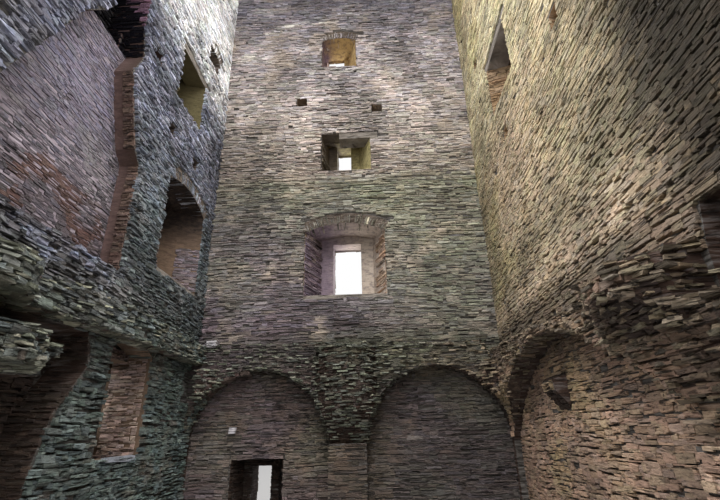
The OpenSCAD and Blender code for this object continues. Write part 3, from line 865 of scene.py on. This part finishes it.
def off_fire_recess(spot):
    return not in_fire_recess(spot)


def inside_color(side):
    """The colour of an inner wall's slates, by place and normal; the left wall has its own hollows."""
    def color(spot, normal):
        if side == "left" and in_fire_recess(spot):
            edges = ((noise.noise(spot * 2.5), 0.05, 0.3), (6.1 - spot.z, 0, 0.6))
            return stained(steps(spot.z, FIRE_BACK), BURNT, 0.7, *edges)
        hollow = side == "left" and spot.x < -HALF_W - HOLLOW_START
        # The flue's hollow is painted near black, as soot and painted shade
        if hollow and spot.z > FLUE_FOOT:
            return SOOT_AND_SHADE
        # The low hollow's back is its own brown darkened as painted shade
        if hollow and spot.z < LEDGE and spot.y < 2.6:
            return HOLLOW_BACK_SHADE
        return wall_color(side, spot, normal)
    return color


def clad_inside(surface):
    """Slates on the four inner faces, storey by storey."""
    for side, face in INSIDE.items():
        reach = HALF_W if side in ("back", "front") else HALF_L
        for storey, heights in STOREYS.items():
            tone = "slate_dark" if storey == "ground" else TONES[side]
            stones = Stones("slates_" + storey + "_" + side, tone, MATERIALS[tone])
            bare = {"back": on_crack, "left": in_fire_recess}.get(side)
            look = LOOKS.get(storey + "_" + side, LOOKS[side])
            plainer = {"left": lambda u: u < SEEN_FROM, "right": lambda u: u > -SEEN_FROM}.get(side)
            mason = Mason(stones, face, surface, look, inside_color(side), bare, 0.0, plainer)
            mason.clad((-reach, reach), heights)
            stones.build()
    stones = Stones("slates_fireplace_back", "plaster", MATERIALS["slate_cool"])
    color = inside_color("left")
    mason = Mason(stones, INSIDE["left"], surface, LOOKS["recess"], color, off_fire_recess)
    mason.clad((-0.3, 2.85), (4.55, 8.32))
    stones.build()


def in_opening(spot):
    """Well behind the outer faces, on the sides of a window or slit."""
    return abs(spot.x) < HALF_W + WALL - 0.1 and abs(spot.y) < HALF_L + WALL - 0.1


def clad_outside(surface):
    """Coarser slates on the four outer faces."""
    for side, (face, reach) in OUTSIDE.items():
        stones = Stones("slates_outside_" + side, TONES[side], MATERIALS["slate_outside"])
        color = lambda spot, normal: outside_color(spot)
        mason = Mason(stones, face, surface, LOOKS["outside"], color, in_opening)
        mason.clad((-reach, reach), (0.01, TOP))
        stones.build()


# Returns that a ray along the wall's thickness misses: eye, look, span, heights and colour
RETURNS = (
    ("fireplace_jamb", (-3.2, 1.0, 0), (0, 1, 0), (-0.16, 0.0), (4.56, 8.3), (84, 68, 62)),
    ("left_niche_jamb", (-3.2, 4.6, 0), (0, 1, 0), (-0.45, 0.0), (5.08, 6.05), (112, 102, 106)),
    # The flue's jamb is soot and painted shade, with a patch of painted light
    ("flue_jamb", (-3.2, 1.5, 0), (0, 1, 0), (-0.66, 0.0), (8.3, 9.9), SOOT_AND_SHADE),
    ("slit_jamb", (-3.3, 3.5, 0), (-0.30, 0.95, 0), (-0.7, 0.25), (2.0, 3.5), (160, 140, 130)),
    # The hollow's jamb is its own brown darkened as painted shade
    ("hollow_jamb", (-3.2, 0.8, 0), (0, 1, 0), (-0.52, 0.0), (0.3, 3.5), (56, 46, 40)),
)


# The light on the flue's jamb comes down with this slope, from this height at the wall's face
LIGHT_SLOPE = 0.62
LIGHT_HEIGHT = 8.75
MAUVE = (108, 80, 98)
# A return is clad where it faces its viewer at least this squarely
RETURN_FACING = 0.75


def return_color(spot, color):
    """A return's own colour; on the flue's jamb, soot and painted shade, with painted mauve light where light
    falls in from above.
    """
    if color is not SOOT_AND_SHADE:
        return color
    lit = LIGHT_SLOPE * (spot.z - LIGHT_HEIGHT) + HALF_W + spot.x
    return mixed(color, MAUVE, smooth(lit, -0.02, 0.04))


def clad_returns(surface):
    """Slates on the sides of the left wall's recess, niches and hollow."""
    for name, eye, look, span, heights, tone in RETURNS:
        stones = Stones("slates_" + name, "slate_cool", MATERIALS["slate_dark"])
        color = lambda spot, normal, tone=tone: return_color(spot, tone)
        mason = Mason(stones, Face(eye, look), surface, LOOKS["jamb"], color, None, RETURN_FACING)
        mason.clad(span, heights)
        stones.build()


def triangles(name):
    """A node's triangles, each with its three corners."""
    mesh = frame["nodes"][name].data
    mesh.calc_loop_triangles()
    for triangle in mesh.loop_triangles:
        yield triangle, [mesh.vertices[i].co for i in triangle.vertices]


def spot_between(a, b, c):
    """A random place in a triangle."""
    s, t = random.random(), random.random()
    if s + t > 1:
        s, t = 1 - s, 1 - t
    return a + (b - a) * s + (c - a) * t


def ragged(stones, names, per_metre, size, reach):
    """Slates that stick out of broken masonry, in level beds."""
    for name in names:
        for triangle, corners in triangles(name):
            count = triangle.area * per_metre
            count = int(count) + (random.random() < count - int(count))
            for _ in range(count):
                place_slab(stones, spot_between(*corners), triangle.normal, size, reach)


# A face whose outward direction is shorter than this lies flat, and its slates stick out any way
LYING = 0.15


def place_slab(stones, place, normal, size, reach):
    """One slate of the broken vault, with its length and thickness from size."""
    out = Vector((normal.x, normal.y, 0))
    if out.length < LYING:
        out = Vector((random.uniform(-1, 1), random.uniform(-1, 1), 0))
    out.normalize()
    out = Matrix.Rotation(random.uniform(-0.45, 0.45), 3, "Z") @ out
    along = UP.cross(out)
    long = random.uniform(*size[0])
    thick = random.uniform(*size[1])
    deep = long * random.uniform(0.5, 0.9)
    stick = random.uniform(*reach)
    middle = place + out * (stick - deep / 2)
    up = (UP + along * random.uniform(-0.15, 0.15) + out * random.uniform(-0.12, 0.12)).normalized()
    stones.slab(middle, along, out, up, (long, deep, thick), stone_color(vault_color(place), 0.16))


VAULT = [n for n in frame["nodes"] if n.startswith(("springer_", "vault_corner_"))]
HAUNCHES = [n for n in frame["nodes"] if n.startswith("vault_haunch_")]
TOPS = [n for n in frame["nodes"] if n.startswith(("ruined_top_", "chimney_stack_"))]


VAULT_LEFT = (88, 89, 79)
VAULT_RIGHT = (90, 78, 64)
VAULT_PALE = (132, 126, 114)


def vault_color(place):
    """Damp, greenish stone, which is browner on the right."""
    side = smooth(place.x, 0.5, 3.0)
    return mixed(mixed(VAULT_LEFT, VAULT_RIGHT, side), VAULT_PALE, 0.35 * random.random())


def broken_vault():
    """Slates on the vault's remains: how many to the square metre, their sizes, how far they stick out."""
    stones = Stones("broken_vault_slates", "slate_dark", MATERIALS["slate_dark"])
    ragged(stones, VAULT, 125, ((0.08, 0.26), (0.018, 0.05)), (0.0, 0.10))
    ragged(stones, HAUNCHES, 75, ((0.08, 0.26), (0.015, 0.045)), (0.0, 0.09))
    stones.build()


class Bay:
    """A niche with slates set on edge over its segmental head."""

    def __init__(self, side, place, width, head, rise):
        self.side = side
        self.place = place
        self.radius = (width * width / 4 + rise * rise) / (2 * rise)
        self.centre = head - self.radius
        self.spread = math.asin(width / 2 / self.radius)


BAYS = (
    Bay("back", -0.035, 1.87, 6.85, 0.23),
    Bay("front", -0.035, 1.87, 6.85, 0.23),
    Bay("left", 4.725, 1.81, 7.05, 0.23),
    Bay("left", 3.65, 1.20, 3.69, 0.20),
    Bay("back", -0.145, 0.96, 12.72, 0.11),
    Bay("front", -0.145, 0.96, 12.72, 0.11),
    Bay("left", 5.115, 0.69, 11.25, 0.06),
    Bay("right", -3.60, 0.96, 12.66, 0.11),
)
WALL_PLANE = {"back": HALF_L, "front": HALF_L, "left": HALF_W, "right": HALF_W}
RING_DEPTH = 0.42
RING_HEIGHT = 0.26
EDGE_THICK = (0.013, 0.030)
# Slates on edge are this much thicker than their step, so that no gap opens between them
EDGE_LAP = 1.35
EDGE_TONE = (60, 52, 44)


def set_on_edge(stones, bay):
    """Slates set on edge round a niche head, as deep as the arch, with ragged feet and heads."""
    face = INSIDE[bay.side]
    along = face.right
    angle = -bay.spread
    while angle < bay.spread:
        step = random.uniform(*EDGE_THICK) / bay.radius
        middle = angle + step / 2
        out = along * math.sin(middle) + UP * math.cos(middle)
        across = along * math.cos(middle) - UP * math.sin(middle)
        tall = RING_HEIGHT * random.uniform(0.7, 1.05)
        foot = bay.radius + random.uniform(-0.022, 0.012)
        centre = along * bay.place + UP * bay.centre + face.look * WALL_PLANE[bay.side]
        centre += out * (foot + tall / 2)
        proud = random.uniform(0.008, 0.036)
        base = mixed(wall_color(bay.side, centre, -face.look), EDGE_TONE, 0.2)
        size = (step * (bay.radius + RING_HEIGHT / 2) * EDGE_LAP, RING_DEPTH, tall)
        centre += face.look * (RING_DEPTH / 2 - proud)
        stones.slab(centre, across, -face.look, out, size, stone_color(base, 0.14))
        angle += step


def niche_rings():
    """Slates on edge over all niches, as one piece."""
    stones = Stones("slates_on_edge", "slate_edge", MATERIALS["slate_warm"])
    for bay in BAYS:
        set_on_edge(stones, bay)
    stones.build()


# Loose stones keep this near to the middle, so that they overhang the outer faces little
LOOSE_W = HALF_W + WALL - 0.14
LOOSE_L = HALF_L + WALL - 0.14


# They lie on faces turned up at least this much and no lower than this, so many to the square metre
LEVEL = 0.4
LOWEST_TOP = 14
LOOSE_PER_METRE = 30


def broken_tops():
    """Loose stones on the ruined wall tops."""
    stones = Stones("loose_wall_top", "slate_warm", MATERIALS["slate_outside"])
    for name in TOPS:
        for triangle, corners in triangles(name):
            if triangle.normal.z < LEVEL or min(corner.z for corner in corners) < LOWEST_TOP:
                continue
            for _ in range(int(triangle.area * LOOSE_PER_METRE)):
                spot = spot_between(*corners)
                spot.x = min(max(spot.x, -LOOSE_W), LOOSE_W)
                spot.y = min(max(spot.y, -LOOSE_L), LOOSE_L)
                turn = random.uniform(0, 6.3)
                along = Vector((math.cos(turn), math.sin(turn), 0))
                long = random.uniform(0.14, 0.34)
                size = (long, long * random.uniform(0.5, 0.9), random.uniform(0.04, 0.10))
                color = stone_color(outside_color(spot), 0.12)
                stones.slab(spot + UP * 0.01, along, UP.cross(along), UP, size, color)
    stones.build()


# Pale quartz blocks in the broken vault: middle, width and height
PALE = (
    ((-2.80, 5.88, 4.03), 0.22, 0.18),
    ((-0.50, 5.88, 3.45), 0.17, 0.20),
    ((-2.34, 6.28, 2.37), 0.16, 0.15),
    ((-2.98, 5.90, 3.98), 0.12, 0.09),
)
PALE_DEPTH = 0.14
QUARTZ = linear((176, 170, 172))
# The pale sill of the left wall's ground niche: middle and size
SILL = (-HALF_W + 0.02, 3.68, 1.97)
SILL_SIZE = (0.95, 0.12, 0.09)
SILL_STONE = linear((124, 126, 132))


def pale_stones():
    """Single pale stones, as one piece."""
    stones = Stones("pale_stones", "slate_dark", MATERIALS["slate_dark"])
    right, forward = Vector((1, 0, 0)), Vector((0, 1, 0))
    for place, wide, tall in PALE:
        stones.slab(Vector(place), right, Vector((0, -1, 0)), UP, (wide, PALE_DEPTH, tall), QUARTZ)
    stones.slab(Vector(SILL), forward, right, UP, SILL_SIZE, SILL_STONE)
    stones.build()


FLOOR_HALF = 60.0
FLOOR_HEIGHT = -0.002


def make_stage():
    """A pale floor, which isn't part of the keep."""
    mesh = bpy.data.meshes.new("floor")
    signs = ((-1, -1), (1, -1), (1, 1), (-1, 1))
    corners = [(x * FLOOR_HALF, y * FLOOR_HALF, FLOOR_HEIGHT) for x, y in signs]
    mesh.from_pydata(corners, [], [(0, 1, 2, 3)])
    floor = bpy.data.objects.new("floor", mesh)
    bpy.context.collection.objects.link(floor)
    m = Nodes(bpy.data.materials.new("pale_floor"))
    shader = m.add("ShaderNodeBsdfDiffuse")
    shader.inputs["Color"].default_value = (0.42, 0.41, 0.40, 1)
    out = m.add("ShaderNodeOutputMaterial")
    m.link(shader.outputs[0], out.inputs["Surface"])
    mesh.materials.append(m.owner)


SKY_LIGHT = 1.0
SKY_TINT = (0.93, 0.96, 1.0, 1)
WHITE = (1, 1, 1, 1)
# The low sun stands this way from the middle of the keep, this far off, with half this width in degrees
SUN_WAY = (0.742, 0.03, 0.669)
SUN_AWAY = 70.0
SUN_HALF_WIDTH = 1.2
SUN = 3.0
SUN_TINT = (1.0, 0.97, 0.93)
LAMP_TINT = (0.96, 0.985, 1.0)

# Lamps in the keep, which the camera doesn't see: place, turn, width, length and radiance
LAMPS = (
    ("over_top", (0, 0, 14.2), (0, 0, 0), 3.4, 9.0, 6.0),
    ("over_third", (0, 0, 11.6), (0, 0, 0), 3.0, 8.6, 5.0),
    ("over_second", (0, 0, 9.0), (0, 0, 0), 3.0, 8.6, 4.4),
    ("over_first", (0, 0, 6.6), (0, 0, 0), 3.0, 8.6, 3.2),
    ("over_ground", (0, 0, 4.2), (0, 0, 0), 3.0, 8.6, 1.5),
    ("behind", (0, -5.6, 8.0), (90, 0, 0), 5.8, 11.0, 2.6),
    ("to_left", (0, 0, 8.8), (0, 90, 0), 8.0, 9.0, 0.9),
    ("to_right", (0, 0, 8.8), (0, -90, 0), 8.0, 9.0, 1.5),
    ("window_first_back", (-0.035, 7.35, 5.9), (-90, 0, 0), 0.66, 1.4, 5.0),
    ("window_second_back", (-0.09, 7.35, 9.05), (-90, 0, 0), 0.36, 0.85, 7.0),
    ("window_third_back", (-0.32, 7.35, 12.5), (-90, 0, 0), 0.5, 1.0, 6.5),
    ("window_first_left", (-4.4, 4.725, 6.0), (0, -90, 0), 1.4, 0.58, 5.0),
    ("window_second_left", (-4.4, 4.205, 9.2), (0, -90, 0), 0.6, 0.36, 4.0),
    ("slit_ground_left", (-4.42, 4.28, 2.75), (0, -90, 0), 0.8, 0.3, 12.0),
)


def make_sky():
    """Soft bluish light, which the camera and shiny or clear things see as white."""
    world = bpy.data.worlds.new("sky")
    bpy.context.scene.world = world
    m = Nodes(world)
    mix = m.add("ShaderNodeMixShader")
    for socket, tint, strength in ((mix.inputs[1], SKY_TINT, SKY_LIGHT), (mix.inputs[2], WHITE, 1.0)):
        light = m.add("ShaderNodeBackground", {"Color": tint, "Strength": strength})
        m.link(light.outputs[0], socket)
    rays = m.add("ShaderNodeLightPath").outputs
    seen = m.calc("MAXIMUM", rays["Is Camera Ray"], rays["Is Glossy Ray"])
    m.link(m.calc("MAXIMUM", seen, rays["Is Transmission Ray"]), mix.inputs[0])
    out = m.add("ShaderNodeOutputWorld")
    m.link(mix.outputs[0], out.inputs["Surface"])


def place_lamp(data, place):
    """Puts a lamp that the camera doesn't see at a place."""
    lamp = bpy.data.objects.new(data.name, data)
    lamp.location = place
    lamp.visible_camera = False
    bpy.context.collection.objects.link(lamp)
    return lamp


def make_light():
    """The sky, a low sun over the right wall, and lamps in the shaft."""
    make_sky()
    sun = bpy.data.lights.new("sun", "POINT")
    sun.energy = SUN * 4 * math.pi * SUN_AWAY ** 2
    sun.shadow_soft_size = SUN_AWAY * math.tan(math.radians(SUN_HALF_WIDTH))
    sun.color = SUN_TINT
    place_lamp(sun, Vector((0, 0, LEDGE * 2)) + Vector(SUN_WAY) * SUN_AWAY)
    for name, place, turn, wide, long, radiance in LAMPS:
        data = bpy.data.lights.new(name, "AREA")
        data.shape = "RECTANGLE"
        data.size = wide
        data.size_y = long
        data.energy = radiance * math.pi * wide * long
        data.color = LAMP_TINT
        lamp = place_lamp(data, place)
        lamp.rotation_euler = Euler([math.radians(a) for a in turn], "XYZ")
        lamp.visible_glossy = False


bpy.context.scene.view_settings.view_transform = "Standard"
make_camera()
make_stage()
make_light()
dress_nodes()
wall_surface = Surface()
clad_inside(wall_surface)
clad_outside(wall_surface)
clad_returns(wall_surface)
broken_vault()
niche_rings()
broken_tops()
pale_stones()
